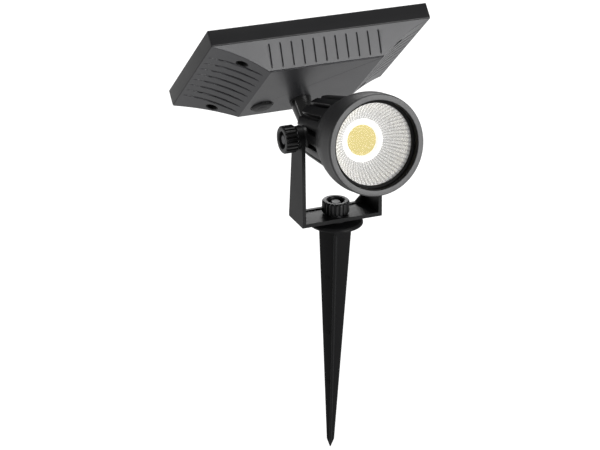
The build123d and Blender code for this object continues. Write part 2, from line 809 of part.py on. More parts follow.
with BuildPart() as back_housing:
    add(outer_block)
    with BuildSketch(head_face(0)):
        Rectangle(tongue_outer_u, tongue_outer_w)
    extrude(amount=gasket_top + gasket_thickness)
    add(inner_block, mode=Mode.SUBTRACT)
    with BuildSketch(head_face(gasket_top + gasket_thickness)):
        Rectangle(tongue_outer_u - 2 * tongue_wall, tongue_outer_w - 2 * tongue_wall)
    extrude(amount=-gasket_top - gasket_thickness, mode=Mode.SUBTRACT)
    add(screw_posts.part)
    with BuildSketch(head_face(neck_top)):
        with Locations((0, neck_w)):
            Circle(neck_nut_radius)
    extrude(amount=inner_floor - neck_top)
    with BuildSketch(head_face(control_depth + control_thickness)):
        with Locations((button_u, button_w)):
            with GridLocations(0, control_width - 2 * board_post_inset, 1, 2):
                Circle(board_post_radius)
    extrude(amount=inner_floor - control_depth - control_thickness)
    with BuildSketch(head_face(screw_seat)):
        with GridLocations(2 * screw_u, 2 * screw_w, 2, 2):
            Circle(screw_head_radius + seat_clearance)
    extrude(amount=housing_depth, mode=Mode.SUBTRACT)
    with BuildSketch(head_face(gasket_top)):
        with GridLocations(2 * screw_u, 2 * screw_w, 2, 2):
            Circle(screw_radius + running_fit)
    extrude(amount=housing_depth, mode=Mode.SUBTRACT)
    with BuildSketch(head_face(neck_top)):
        with Locations((0, neck_w)):
            Circle(neck_shank_radius + running_fit)
    extrude(amount=housing_depth, mode=Mode.SUBTRACT)
    with BuildSketch(head_face(inner_floor)):
        with Locations((button_u, button_w)):
            Circle(button_radius + running_fit)
    extrude(amount=housing_depth, mode=Mode.SUBTRACT)
    front_slope = Plane(
        origin=head_centre
        + uphill * (panel_height / 2 - (front_inset + shadow_line) / 2)
        + down * (housing_depth / 2),
        x_dir=X,
        z_dir=uphill.rotate(Axis((0, 0, 0), (1, 0, 0)), front_slope_lean),
    )
    with BuildSketch(front_slope):
        with GridLocations(front_groove_pitch, 0, front_grooves, 1):
            SlotOverall(front_groove_length, groove_width, rotation=90)
    extrude(amount=-groove_depth, mode=Mode.SUBTRACT)
    for row in range(side_grooves):
        groove_w = side_groove_middle + (row - (side_grooves - 1) / 2) * side_groove_pitch
        with BuildSketch(across_head(groove_w)):
            for side in (-1, 1):
                with BuildLine():
                    start = side_slope_point(side, groove_rim_gap, -groove_end_sink)
                    end = side_slope_point(side, side_inset - groove_floor_gap, -groove_end_sink)
                    SagittaArc(start, end, side * (side_sag + groove_depth - groove_end_sink))
                    Polyline(
                        end,
                        side_slope_point(side, side_inset - groove_floor_gap, side_sag),
                        side_slope_point(side, groove_rim_gap, side_sag),
                        start,
                    )
                make_face()
        extrude(amount=groove_width / 2, both=True, mode=Mode.SUBTRACT)

with BuildPart() as housing_screws:
    with BuildSketch(head_face(screw_seat)):
        with GridLocations(2 * screw_u, 2 * screw_w, 2, 2):
            Circle(screw_head_radius)
    extrude(amount=screw_head_height)
    with BuildSketch(head_face(screw_seat)):
        with GridLocations(2 * screw_u, 2 * screw_w, 2, 2):
            Circle(screw_radius)
    extrude(amount=ledge_top - screw_seat + screw_in_ledge)
    with BuildSketch(head_face(screw_seat + screw_head_height)):
        with GridLocations(2 * screw_u, 2 * screw_w, 2, 2):
            Rectangle(2 * screw_radius, cross_width)
            Rectangle(cross_width, 2 * screw_radius)
    extrude(amount=-cross_depth, mode=Mode.SUBTRACT)

# ---------------------------------------------------------------- electronics and button
with BuildPart() as control_board:
    with BuildSketch(head_face(control_depth)):
        with Locations((button_u, button_w)):
            Rectangle(control_length, control_width)
    extrude(amount=control_thickness)

switch_top = control_depth + control_thickness + switch_height
with BuildPart() as switch_body:
    with BuildSketch(head_face(control_depth + control_thickness)):
        with Locations((button_u, button_w)):
            Rectangle(switch_size, switch_size)
    extrude(amount=switch_height)
    with BuildSketch(head_face(switch_top)):
        with Locations((button_u, button_w)):
            Circle(plunger_radius + running_fit)
    extrude(amount=-(button_travel + switch_well), mode=Mode.SUBTRACT)

flange_inner = inner_floor - rest_gap - button_flange
crown_start = housing_depth + button_proud - button_crown
stem_end = switch_top + button_travel + plunger_gap
with BuildPart() as switch_plunger:
    with BuildSketch(head_face(switch_top - plunger_depth)):
        with Locations((button_u, button_w)):
            Circle(plunger_radius)
    extrude(amount=stem_end - switch_top + plunger_depth)

with BuildPart() as power_button:
    with BuildSketch(head_face(flange_inner)):
        with Locations((button_u, button_w)):
            Circle(button_radius + button_flange_width)
    extrude(amount=button_flange)
    with BuildSketch(head_face(flange_inner + button_flange)):
        with Locations((button_u, button_w)):
            Circle(button_radius)
    extrude(amount=crown_start - flange_inner - button_flange)
    with BuildSketch(head_face(crown_start)):
        with Locations((button_u, button_w)):
            Circle(button_radius)
    extrude(amount=button_crown, taper=button_crown_angle)
    with BuildSketch(head_face(stem_end)):
        with Locations((button_u, button_w)):
            Circle(plunger_radius + stem_wall)
    extrude(amount=flange_inner - stem_end)

with BuildPart() as battery_cell:
    with BuildSketch(Plane(
        origin=head_centre + uphill * battery_w + down * battery_depth, x_dir=uphill, z_dir=X
    )):
        Circle(battery_radius)
    extrude(amount=battery_length / 2, both=True)

with BuildPart() as battery_cradle:
    cradle_length = battery_length + 2 * slip_fit + 2 * cradle_wall
    cradle_side = 2 * (battery_radius + slip_fit + cradle_wall)
    with BuildSketch(head_face(battery_depth)):
        with Locations((0, battery_w)):
            Rectangle(cradle_length, cradle_side)
    extrude(amount=inner_floor - battery_depth)
    with BuildSketch(Plane(
        origin=head_centre + uphill * battery_w + down * battery_depth, x_dir=uphill, z_dir=X
    )):
        Circle(battery_radius + slip_fit)
    extrude(amount=battery_length / 2 + slip_fit, both=True, mode=Mode.SUBTRACT)


# ---------------------------------------------------------------- files
def save(piece, name):
    """Label a finished piece and write it as its own file."""
    piece.label = name
    export_step(piece, f"parts/{name}.step")


os.makedirs("parts", exist_ok=True)
for side, (seat, reach) in knob_seats.items():
    save(knob_grip(seat), f"{side}_knob")
    save(knob_bolt(seat, reach), f"{side}_bolt")
    save(knob_washer(seat), f"{side}_washer")
save(ground_stake.part, "ground_stake")
save(stake_nut.part, "stake_nut")
save(yoke_bracket.part, "yoke_bracket")
save(lamp_bezel.part, "lamp_bezel")
save(glass_seal.part, "glass_seal")
save(front_glass.part, "front_glass")
save(reflector.part, "reflector")
save(chip_holder.part, "chip_holder")
save(chip_board.part, "chip_board")
save(light_chip.part, "light_chip")
save(heat_spreader.part, "heat_spreader")
save(lamp_housing.part, "lamp_housing")
save(pivot_inserts.part, "pivot_inserts")
save(pivot_washers.part, "pivot_washers")
save(tail_bracket.part, "tail_bracket")
save(tail_screws.part, "tail_screws")
save(hinge_bolt.part, "hinge_bolt")
save(hinge_nut.part, "hinge_nut")
save(neck_stem.part, "neck_stem")
save(neck_nut.part, "neck_nut")
save(panel_frame.part, "panel_frame")
save(panel_glass.part, "panel_glass")
save(cell_backing.part, "cell_backing")
save(solar_cells.part, "solar_cells")
save(housing_gasket.part, "housing_gasket")
save(back_housing.part, "back_housing")
save(housing_screws.part, "housing_screws")
save(control_board.part, "control_board")
save(switch_body.part, "switch_body")
save(switch_plunger.part, "switch_plunger")
save(power_button.part, "power_button")
save(battery_cell.part, "battery_cell")
save(battery_cradle.part, "battery_cradle")
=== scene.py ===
import json
from math import cos, pi, radians, sin

import bmesh
import bpy
import numpy as np
from bpy.props import FloatProperty, FloatVectorProperty, IntProperty, PointerProperty
from mathutils import Matrix, Vector


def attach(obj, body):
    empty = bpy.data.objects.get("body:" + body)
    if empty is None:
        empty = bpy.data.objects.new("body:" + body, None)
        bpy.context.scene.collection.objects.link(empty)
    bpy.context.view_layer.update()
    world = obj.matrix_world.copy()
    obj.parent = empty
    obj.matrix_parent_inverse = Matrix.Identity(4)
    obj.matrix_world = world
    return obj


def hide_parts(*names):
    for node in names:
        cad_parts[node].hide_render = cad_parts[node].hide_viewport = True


bl_info = {
    "name": "Solar garden spotlight",
    "version": (1, 0, 0),
    "blender": (4, 5, 0),
    "location": "3D View > Sidebar > Spotlight",
    "description": "Builds the looks of a solar garden spotlight round its packed frame",
    "category": "Add Mesh",
}

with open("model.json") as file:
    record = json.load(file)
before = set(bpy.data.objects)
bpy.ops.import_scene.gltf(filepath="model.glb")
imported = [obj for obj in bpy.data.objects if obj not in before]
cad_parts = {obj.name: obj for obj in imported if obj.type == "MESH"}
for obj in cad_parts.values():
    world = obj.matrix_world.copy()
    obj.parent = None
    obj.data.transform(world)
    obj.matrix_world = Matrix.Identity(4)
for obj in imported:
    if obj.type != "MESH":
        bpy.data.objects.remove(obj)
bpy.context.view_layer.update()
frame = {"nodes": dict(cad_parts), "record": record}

MM = 0.001
X = np.array([1.0, 0.0, 0.0])
Z = np.array([0.0, 0.0, 1.0])
PIVOT = np.array([0.0, 0.0, 72.45])
PITCH = radians(12.4)
BEAM = np.array([0.0, -cos(PITCH), sin(PITCH)])
LAMP_UP = np.array([0.0, sin(PITCH), cos(PITCH)])
SLOPE = radians(42.53)
DOWN = np.array([0.0, -sin(SLOPE), -cos(SLOPE)])
UPHILL = np.array([0.0, -cos(SLOPE), sin(SLOPE)])
HEAD = np.array([0.0, 69.02, 102.88])


# ---------------------------------------------------------------- sizes and finishes
class SpotlightSizes(bpy.types.PropertyGroup):
    """Sizes of the pieces that are shaped here, in metres."""
    ring_radius: FloatProperty(name="Ring radius", description="Outside of the lamp's front ring",
                               default=0.036, unit="LENGTH")
    reflector_spokes: IntProperty(name="Reflector spokes", description="Facets round the reflector",
                                  default=60)
    reflector_rings: IntProperty(name="Reflector rings", description="Facets along the reflector",
                                 default=12)
    facet_height: FloatProperty(name="Facet height", description="How far each facet bulges",
                                default=0.0002, unit="LENGTH")
    barrel_slots: IntProperty(name="Barrel slots", description="Gaps between the lamp's cooling ribs",
                              default=16)
    slot_width: FloatProperty(name="Slot width", description="Width of those gaps", default=0.003,
                              unit="LENGTH")
    knob_radius: FloatProperty(name="Knob radius", description="Outside of the clamping knobs",
                               default=0.0103, unit="LENGTH")
    knob_ribs: IntProperty(name="Knob ribs", description="Grip ribs round a knob", default=20)
    stake_length: FloatProperty(name="Stake length", description="Soil line to tip", default=0.1924,
                                unit="LENGTH")
    groove_depth: FloatProperty(name="Groove depth", description="Depth of the grooves in the back housing",
                                default=0.0011, unit="LENGTH")


class SpotlightFinish(bpy.types.PropertyGroup):
    """Colours of the plastics and of the light source."""
    housing: FloatVectorProperty(name="Housing", description="Back housing's charcoal", subtype="COLOR",
                                 default=(0.036, 0.036, 0.040), min=0, max=1)
    ring: FloatVectorProperty(name="Ring", description="Lamp ring's charcoal", subtype="COLOR",
                              default=(0.012, 0.012, 0.013), min=0, max=1)
    black: FloatVectorProperty(name="Black", description="Black mouldings", subtype="COLOR",
                               default=(0.007, 0.007, 0.0075), min=0, max=1)
    yoke: FloatVectorProperty(name="Yoke", description="Yoke and stake", subtype="COLOR",
                              default=(0.006, 0.006, 0.0065), min=0, max=1)
    phosphor: FloatVectorProperty(name="Phosphor", description="Light source", subtype="COLOR",
                                  default=(0.46, 0.37, 0.088), min=0, max=1)


# ---------------------------------------------------------------- shapes
def soften(points, radius, steps=5):
    """Rounds the corners of a closed outline: each corner becomes a parabola between two
    points that stand up to radius away from it along its two edges."""
    p = np.asarray(points, float)
    before, after = np.roll(p, 1, 0) - p, np.roll(p, -1, 0) - p
    len_b = np.linalg.norm(before, axis=1, keepdims=True)
    len_a = np.linalg.norm(after, axis=1, keepdims=True)
    start = p + before / len_b * np.minimum(radius, 0.45 * len_b)
    end = p + after / len_a * np.minimum(radius, 0.45 * len_a)
    t = np.linspace(0, 1, steps)[None, :, None]
    bend = (1 - t) ** 2 * start[:, None] + 2 * t * (1 - t) * p[:, None] + t ** 2 * end[:, None]
    return bend.reshape(-1, 2)


def hermite(start, end, leave, arrive, count):
    """Cubic curve from start to end with the given end slopes, as count points."""
    t = np.linspace(0, 1, count)[:, None]
    start, end, leave, arrive = (np.asarray(v, float) for v in (start, end, leave, arrive))
    return ((2 * t ** 3 - 3 * t ** 2 + 1) * start + (t ** 3 - 2 * t ** 2 + t) * leave
            + (3 * t ** 2 - 2 * t ** 3) * end + (t ** 3 - t ** 2) * arrive)


def turned(profile, origin, axis, side, count=160, radius_of=None):
    """Carries a profile of (radius, height) round an axis: each point is the origin, plus its
    height along the axis, plus its radius along a spoke that turns once round."""
    profile = np.asarray(profile, float)
    turn = np.linspace(0, 2 * pi, count, endpoint=False)[:, None]
    radius = np.broadcast_to(profile[None, :, 0], (count, len(profile)))
    if radius_of is not None:
        radius = radius_of(turn, radius, profile[None, :, 1])
    spoke = np.cos(turn)[..., None] * side + np.sin(turn)[..., None] * np.cross(axis, side)
    return origin + profile[None, :, 1, None] * axis + radius[..., None] * spoke


def head_point(u, w, d):
    """Point of the solar head: u across it, w uphill and d out of its underside."""
    u, w, d = np.broadcast_arrays(u, w, d)
    return HEAD + u[..., None] * X + w[..., None] * UPHILL + d[..., None] * DOWN


def quads(rows, columns, wrap_rows, wrap_columns):
    """Index quads of a grid, closed on itself where a wrap is set."""
    i = np.arange(rows if wrap_rows else rows - 1)[:, None]
    j = np.arange(columns if wrap_columns else columns - 1)[None, :]
    k, m = (i + 1) % rows, (j + 1) % columns
    corners = (i * columns + j, k * columns + j, k * columns + m, i * columns + m)
    return np.stack(np.broadcast_arrays(*corners), -1).reshape(-1, 4)


def finish_mesh(name, mesh, sharp):
    """Smooths a mesh but for its sharp edges, and makes it an object at the origin."""
    mesh.polygons.foreach_set("use_smooth", np.ones(len(mesh.polygons), bool))
    mesh.set_sharp_from_angle(angle=radians(sharp))
    piece = bpy.data.objects.new(name, mesh)
    bpy.context.scene.collection.objects.link(piece)
    return piece


def shell(name, grids, sharp=32, caps=()):
    """Makes one mesh of point grids in millimetres, each with its two wraps, merges their seams
    and poles, and turns the faces outwards. caps are loops that close an opening flat."""
    points, faces, start = [], [], 0
    for grid, wrap_rows, wrap_columns in grids:
        rows, columns = grid.shape[:2]
        points.append(grid.reshape(-1, 3))
        faces += (quads(rows, columns, wrap_rows, wrap_columns) + start).tolist()
        start += rows * columns
    for loop in caps:
        points.append(loop)
        faces.append(list(range(start, start + len(loop))))
        start += len(loop)
    mesh = bpy.data.meshes.new(name)
    mesh.from_pydata((np.concatenate(points) * MM).tolist(), [], faces)
    work = bmesh.new()
    work.from_mesh(mesh)
    bmesh.ops.remove_doubles(work, verts=work.verts, dist=2e-6)
    bmesh.ops.recalc_face_normals(work, faces=work.faces)
    work.to_mesh(mesh)
    work.free()
    return finish_mesh(name, mesh, sharp)


def bevelled(name, node, width, sharp=32, segments=3):
    """A copy of a frame node, merged and freed of its flat seams, with its edges rounded."""
    mesh = bpy.data.meshes.new(name)
    work = bmesh.new()
    work.from_mesh(frame["nodes"][node].data)
    bmesh.ops.remove_doubles(work, verts=work.verts, dist=2e-6)
    bmesh.ops.dissolve_limit(work, angle_limit=radians(0.6), verts=work.verts, edges=work.edges)
    work.to_mesh(mesh)
    work.free()
    for extra in ("custom_normal", "sharp_edge"):
        if extra in mesh.attributes:
            mesh.attributes.remove(mesh.attributes[extra])
    piece = finish_mesh(name, mesh, sharp)
    edge = piece.modifiers.new("rounded_edges", "BEVEL")
    edge.width, edge.segments, edge.limit_method = width * MM, segments, "ANGLE"
    edge.angle_limit, edge.harden_normals = radians(32), True
    return piece


def place(piece, body, finish, slot, *nodes):
    """Gives a piece its material, the body it moves with, and the nodes it stands for."""
    piece.data.materials.clear()
    piece.data.materials.append(finish)
    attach(piece, body)
    if nodes:
        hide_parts(*nodes)
    return piece


# ---------------------------------------------------------------- materials
def socket_node(tree, kind, **values):
    """Adds a node and sets the named input sockets."""
    node = tree.nodes.new(kind)
    for key, value in values.items():
        node.inputs[key.replace("_", " ")].default_value = value
    return node


def make_skin_group():
    """Moulded skin: a colour with slow drift and fine specks, its roughness, and a height made
    of fine grain over faint flow marks."""
    tree = bpy.data.node_groups.new("moulded_skin", "ShaderNodeTree")
    face = tree.interface
    for label, kind, value in (
        ("Colour", "NodeSocketColor", (0.1, 0.1, 0.1, 1)), ("Grain", "NodeSocketFloat", 1800.0),
        ("Roughness", "NodeSocketFloat", 0.45), ("Dust", "NodeSocketFloat", 0.1),
    ):
        face.new_socket(name=label, in_out="INPUT", socket_type=kind).default_value = value
    face.new_socket(name="Colour", in_out="OUTPUT", socket_type="NodeSocketColor")
    face.new_socket(name="Roughness", in_out="OUTPUT", socket_type="NodeSocketFloat")
    face.new_socket(name="Height", in_out="OUTPUT", socket_type="NodeSocketFloat")
    given = tree.nodes.new("NodeGroupInput")
    result = tree.nodes.new("NodeGroupOutput")
    place_in = tree.nodes.new("ShaderNodeTexCoord")
    fine = socket_node(tree, "ShaderNodeTexNoise", Detail=3.0, Roughness=0.6)
    flow = socket_node(tree, "ShaderNodeTexNoise", Scale=38.0, Detail=4.0, Roughness=0.55)
    specks = socket_node(tree, "ShaderNodeTexVoronoi", Scale=2600.0)
    for noise in (fine, flow, specks):
        tree.links.new(place_in.outputs["Object"], noise.inputs["Vector"])
    tree.links.new(given.outputs["Grain"], fine.inputs["Scale"])
    drift = socket_node(tree, "ShaderNodeMapRange", To_Min=0.9, To_Max=1.12)
    tree.links.new(flow.outputs["Fac"], drift.inputs["Value"])
    tint = tree.nodes.new("ShaderNodeVectorMath")
    tint.operation = "SCALE"
    tree.links.new(given.outputs["Colour"], tint.inputs[0])
    tree.links.new(drift.outputs["Result"], tint.inputs["Scale"])
    dusty = tree.nodes.new("ShaderNodeMix")
    dusty.data_type = "RGBA"
    dusty.inputs["B"].default_value = (0.45, 0.45, 0.46, 1)
    speck_mask = socket_node(tree, "ShaderNodeMapRange", From_Min=0.12, From_Max=0.0)
    tree.links.new(specks.outputs["Distance"], speck_mask.inputs["Value"])
    amount = tree.nodes.new("ShaderNodeMath")
    amount.operation = "MULTIPLY"
    tree.links.new(speck_mask.outputs["Result"], amount.inputs[0])
    tree.links.new(given.outputs["Dust"], amount.inputs[1])
    tree.links.new(amount.outputs[0], dusty.inputs["Factor"])
    tree.links.new(tint.outputs["Vector"], dusty.inputs["A"])
    tree.links.new(dusty.outputs["Result"], result.inputs["Colour"])
    worn = socket_node(tree, "ShaderNodeMapRange", To_Min=-0.05, To_Max=0.07)
    tree.links.new(flow.outputs["Fac"], worn.inputs["Value"])
    rough = tree.nodes.new("ShaderNodeMath")
    tree.links.new(given.outputs["Roughness"], rough.inputs[0])
    tree.links.new(worn.outputs["Result"], rough.inputs[1])
    tree.links.new(rough.outputs[0], result.inputs["Roughness"])
    height = tree.nodes.new("ShaderNodeMath")
    height.operation = "MULTIPLY_ADD"
    height.inputs[1].default_value = 0.35
    tree.links.new(flow.outputs["Fac"], height.inputs[0])
    tree.links.new(fine.outputs["Fac"], height.inputs[2])
    tree.links.new(height.outputs[0], result.inputs["Height"])
    return tree


def moulded(name, colour, roughness=0.45, grain=1800.0, bump=0.12, dust=0.06, coat=0.0, specular=0.5,
            metallic=0.0):
    """A material on the moulded skin group: its colour, roughness and bump all vary over the surface."""
    material = bpy.data.materials.new(name)
    material.use_nodes = True
    tree = material.node_tree
    shader = tree.nodes["Principled BSDF"]
    skin = tree.nodes.new("ShaderNodeGroup")
    skin.node_tree = bpy.data.node_groups["moulded_skin"]
    skin.inputs["Colour"].default_value = (*colour, 1)
    skin.inputs["Roughness"].default_value = roughness
    skin.inputs["Grain"].default_value = grain
    skin.inputs["Dust"].default_value = dust
    relief = socket_node(tree, "ShaderNodeBump", Strength=bump, Distance=0.0002)
    tree.links.new(skin.outputs["Colour"], shader.inputs["Base Color"])
    tree.links.new(skin.outputs["Roughness"], shader.inputs["Roughness"])
    tree.links.new(skin.outputs["Height"], relief.inputs["Height"])
    tree.links.new(relief.outputs["Normal"], shader.inputs["Normal"])
    shader.inputs["Coat Weight"].default_value = coat
    shader.inputs["Coat Roughness"].default_value = 0.12
    shader.inputs["Specular IOR Level"].default_value = specular
    shader.inputs["Metallic"].default_value = metallic
    return material


def clear_glass(name, tint, alpha):
    """Thin clear sheet: a gloss surface that lets most light straight through."""
    material = moulded(name, tint, 0.04, 300.0, 0.0, 0.0)
    shader = material.node_tree.nodes["Principled BSDF"]
    shader.inputs["Alpha"].default_value = alpha
    shader.inputs["Coat Weight"].default_value = 0.6
    shader.inputs["Coat Roughness"].default_value = 0.03
    return material


def glowing(name, colour, strength, roughness, grain, bump, metallic=0.0):
    """A pale surface that shines a little by itself: on the reflector and the white holder this is painted
    light, on the light source it is its own light.
    """
    material = moulded(name, colour, roughness, grain, bump, 0.0, metallic=metallic)
    shader = material.node_tree.nodes["Principled BSDF"]
    shader.inputs["Emission Color"].default_value = (*colour, 1)
    shader.inputs["Emission Strength"].default_value = strength
    return material


def paint_valley_shade(material, deep):
    """Darkens a material's colour and glow towards deep where the piece's valley attribute is high: painted
    shade in the creases between the reflector's facets.
    """
    tree = material.node_tree
    skin = next(node for node in tree.nodes if node.type == "GROUP")
    valley = tree.nodes.new("ShaderNodeAttribute")
    valley.attribute_name = "valley"
    valley_shaded = tree.nodes.new("ShaderNodeMix")
    valley_shaded.data_type = "RGBA"
    valley_shaded.inputs["B"].default_value = (*deep, 1)
    tree.links.new(valley.outputs["Fac"], valley_shaded.inputs["Factor"])
    tree.links.new(skin.outputs["Colour"], valley_shaded.inputs["A"])
    for goal in ("Base Color", "Emission Color"):
        tree.links.new(valley_shaded.outputs["Result"], tree.nodes["Principled BSDF"].inputs[goal])
    return material


def silicon(name):
    """Dark blue cells crossed by fine silver fingers and three wide bars, drawn in the head's own
    directions: each line is where a saw wave of the place is near zero."""
    material = bpy.data.materials.new(name)
    material.use_nodes = True
    tree = material.node_tree
    shader = tree.nodes["Principled BSDF"]
    place_in = tree.nodes.new("ShaderNodeTexCoord")
    turned_in = tree.nodes.new("ShaderNodeMapping")
    turned_in.vector_type = "POINT"
    turned_in.inputs["Rotation"].default_value = (SLOPE, 0, 0)
    tree.links.new(place_in.outputs["Object"], turned_in.inputs["Vector"])
    parts = tree.nodes.new("ShaderNodeSeparateXYZ")
    tree.links.new(turned_in.outputs["Vector"], parts.inputs[0])
    crystal = socket_node(tree, "ShaderNodeTexVoronoi", Scale=180.0)
    tree.links.new(turned_in.outputs["Vector"], crystal.inputs["Vector"])
    masks = []
    for axis, pitch, width in (("Y", 0.0016, 0.09), ("X", 0.0089, 0.11)):
        wave = tree.nodes.new("ShaderNodeMath")
        wave.operation = "PINGPONG"
        wave.inputs[1].default_value = pitch / 2
        tree.links.new(parts.outputs[axis], wave.inputs[0])
        line = tree.nodes.new("ShaderNodeMath")
        line.operation = "LESS_THAN"
        line.inputs[1].default_value = pitch * width
        tree.links.new(wave.outputs[0], line.inputs[0])
        masks.append(line)
    lines = tree.nodes.new("ShaderNodeMath")
    lines.operation = "MAXIMUM"
    tree.links.new(masks[0].outputs[0], lines.inputs[0])
    tree.links.new(masks[1].outputs[0], lines.inputs[1])
    deep = tree.nodes.new("ShaderNodeMix")
    deep.data_type = "RGBA"
    deep.inputs["A"].default_value = (0.006, 0.010, 0.035, 1)
    deep.inputs["B"].default_value = (0.014, 0.024, 0.075, 1)
    tree.links.new(crystal.outputs["Color"], deep.inputs["Factor"])
    printed = tree.nodes.new("ShaderNodeMix")
    printed.data_type = "RGBA"
    printed.inputs["B"].default_value = (0.42, 0.43, 0.46, 1)
    tree.links.new(lines.outputs[0], printed.inputs["Factor"])
    tree.links.new(deep.outputs["Result"], printed.inputs["A"])
    tree.links.new(printed.outputs["Result"], shader.inputs["Base Color"])
    rough = socket_node(tree, "ShaderNodeMapRange", To_Min=0.22, To_Max=0.4)
    tree.links.new(lines.outputs[0], rough.inputs["Value"])
    tree.links.new(rough.outputs["Result"], shader.inputs["Roughness"])
    return material


finishes = {}


class SPOTLIGHT_OT_finishes(bpy.types.Operator):
    """Makes the materials and gives them to the frame nodes that stay as they are"""
    bl_idname = "spotlight.finishes"
    bl_label = "Finishes"

    def execute(self, context):
        chosen = context.scene.spotlight_finish
        make_skin_group()
        finishes.update({
            "stake_plastic": moulded("stake_nylon", chosen.yoke, 0.42, 1500, 0.16, 0.05, specular=0.17),
            "yoke_plastic": moulded("yoke_nylon", chosen.yoke, 0.40, 1600, 0.14, 0.05, specular=0.24),
            "knob_plastic": moulded("knob_nylon", chosen.black, 0.3, 1600, 0.12, 0.04),
            "lamp_plastic": moulded("barrel_plastic", chosen.black, 0.36, 1500, 0.12, 0.04),
            "bezel_plastic": moulded("ring_plastic", chosen.ring, 0.42, 2200, 0.16, 0.05, specular=0.72),
            # painted shade: a near-black finish for the ring's recess, the screw wells and the gap round
            # the button, standing in for the shade in them
            "recess_plastic": moulded("recess_plastic", (0.003, 0.003, 0.003), 0.5, 1500, 0.1, 0.0,
                                      specular=0.12),
            "housing_plastic": moulded("housing_plastic", chosen.housing, 0.31, 2000, 0.10, 0.06),
            "frame_plastic": moulded("rim_plastic", (0.009, 0.009, 0.010), 0.38, 1500, 0.1, 0.04),
            "neck_plastic": moulded("gloss_black", (0.006, 0.006, 0.006), 0.16, 400, 0.03, 0.02, coat=0.6),
            "bolt_steel": moulded("zinc_plate", (0.62, 0.62, 0.64), 0.26, 900, 0.08, 0.0, metallic=1.0),
            "dark_steel": moulded("black_bolt", (0.05, 0.05, 0.055), 0.3, 900, 0.08, 0.03),
            "insert_brass": moulded("turned_brass", (0.78, 0.62, 0.32), 0.25, 900, 0.08, 0.0, metallic=1.0),
            "spreader_aluminium": moulded("pressed_aluminium", (0.8, 0.8, 0.81), 0.35, 700, 0.1, 0.0,
                                          metallic=1.0),
            "clear_glass": clear_glass("lens_glass", (0.9, 0.93, 0.93), 0.06),
            "panel_glass": clear_glass("panel_cover", (0.35, 0.38, 0.42), 0.16),
            # painted light: the reflector glows by itself, standing in for the light it reflects
            "reflector_chrome": glowing("bright_reflector", (0.74, 0.73, 0.715), 0.24, 0.28, 500, 0.0,
                                        metallic=0.25),
            "chip_yellow": glowing("phosphor", chosen.phosphor, 0.6, 0.6, 700, 0.0),
            # painted light: the white holder glows by itself
            "holder_white": glowing("white_holder", (0.93, 0.93, 0.91), 0.4, 0.45, 1200, 0.08),
            "board_white": moulded("white_board", (0.85, 0.85, 0.84), 0.4, 1200, 0.08, 0.0),
            "seal_rubber": moulded("seal_rubber", (0.02, 0.02, 0.022), 0.6, 1500, 0.2, 0.03),
            "button_rubber": moulded("button_rubber", (0.010, 0.010, 0.011), 0.5, 1500, 0.25, 0.05),
            "cell_silicon": silicon("cell_silicon"),
            "backing_film": moulded("backing_film", (0.02, 0.022, 0.03), 0.4, 800, 0.1, 0.0),
            "board_green": moulded("circuit_board", (0.03, 0.16, 0.07), 0.35, 700, 0.15, 0.0),
            "switch_plastic": moulded("switch_plastic", (0.04, 0.04, 0.045), 0.4, 1200, 0.1, 0.0),
            "battery_wrap": moulded("battery_wrap", (0.04, 0.16, 0.42), 0.3, 600, 0.05, 0.0),
        })
        # painted shade: the reflector's colour and glow are darkened in the creases between its facets
        paint_valley_shade(finishes["reflector_chrome"], (0.36, 0.345, 0.34))
        slots = {m["slot"] for m in frame["record"]["materials"]}
        for node in frame["nodes"].values():
            for spot in node.material_slots:
                wanted = spot.material.name.split(".")[0] if spot.material else ""
                if wanted in slots:
                    spot.material = finishes[wanted]
        return {"FINISHED"}


# ---------------------------------------------------------------- pieces
def on_lamp(profile, **more):
    """Carries a profile of (radius, distance in front of the pivot) round the lamp's axis."""
    return turned(profile, PIVOT, BEAM, X, **more)


class SPOTLIGHT_OT_ring(bpy.types.Operator):
    """Builds the lamp's front ring, with its flat face, flared skirt and a recess darkened with painted
    shade
    """
    bl_idname = "spotlight.ring"
    bl_label = "Lamp ring"

    def execute(self, context):
        r = context.scene.spotlight_sizes.ring_radius / MM
        flare = hermite((r + 0.8, 57), (30.2, 30), (0, -27), (-7.5, -22), 22)
        front = [(32.1, 68.9), (32.4, 69.2), (r + 0.1, 69.2), (r + 0.25, 68.9), (r + 0.27, 68.5),
                 (r + 0.55, 68.35), (r + 0.75, 67.2), (r + 0.8, 65.4)]
        back = [(29.7, 29.4), (26.3, 29.4), (26.3, 41.5), (31.5, 49.5), (31.5, 62.7), (32.1, 62.8)]
        outline = np.concatenate([soften(front, 0.25, 4), flare, back])
        piece = shell("front_ring", [(on_lamp(outline, count=192), True, True)], 28)
        place(piece, "lamp", finishes["bezel_plastic"], "bezel_plastic", "lamp_bezel")
        # painted shade: the recess inside the ring gets a near-black lining
        recess = soften([(29.6, 62.8), (32.08, 62.8), (32.08, 69.0), (31.7, 69.0), (31.55, 64.3),
                         (29.6, 64.0)], 0.3, 4)
        piece = shell("ring_recess", [(on_lamp(recess, count=192), True, True)], 40)
        place(piece, "lamp", finishes["recess_plastic"], "bezel_plastic")
        return {"FINISHED"}


def mark_valley_shade(mesh, spokes):
    """Writes an attribute that is 1 in the valleys between the reflector's spokes and 0 on their
    crowns: a steep power of the cosine of the angle round the lamp's axis. It sets where painted shade
    darkens the reflector."""
    points = np.empty(len(mesh.vertices) * 3)
    mesh.vertices.foreach_get("co", points)
    away = points.reshape(-1, 3) / MM - PIVOT
    turn = np.arctan2(away @ np.cross(BEAM, X), away @ X)
    valley = np.abs(np.cos(turn * spokes / 2)) ** 6
    mesh.attributes.new("valley", "FLOAT", "POINT").data.foreach_set("value", valley)


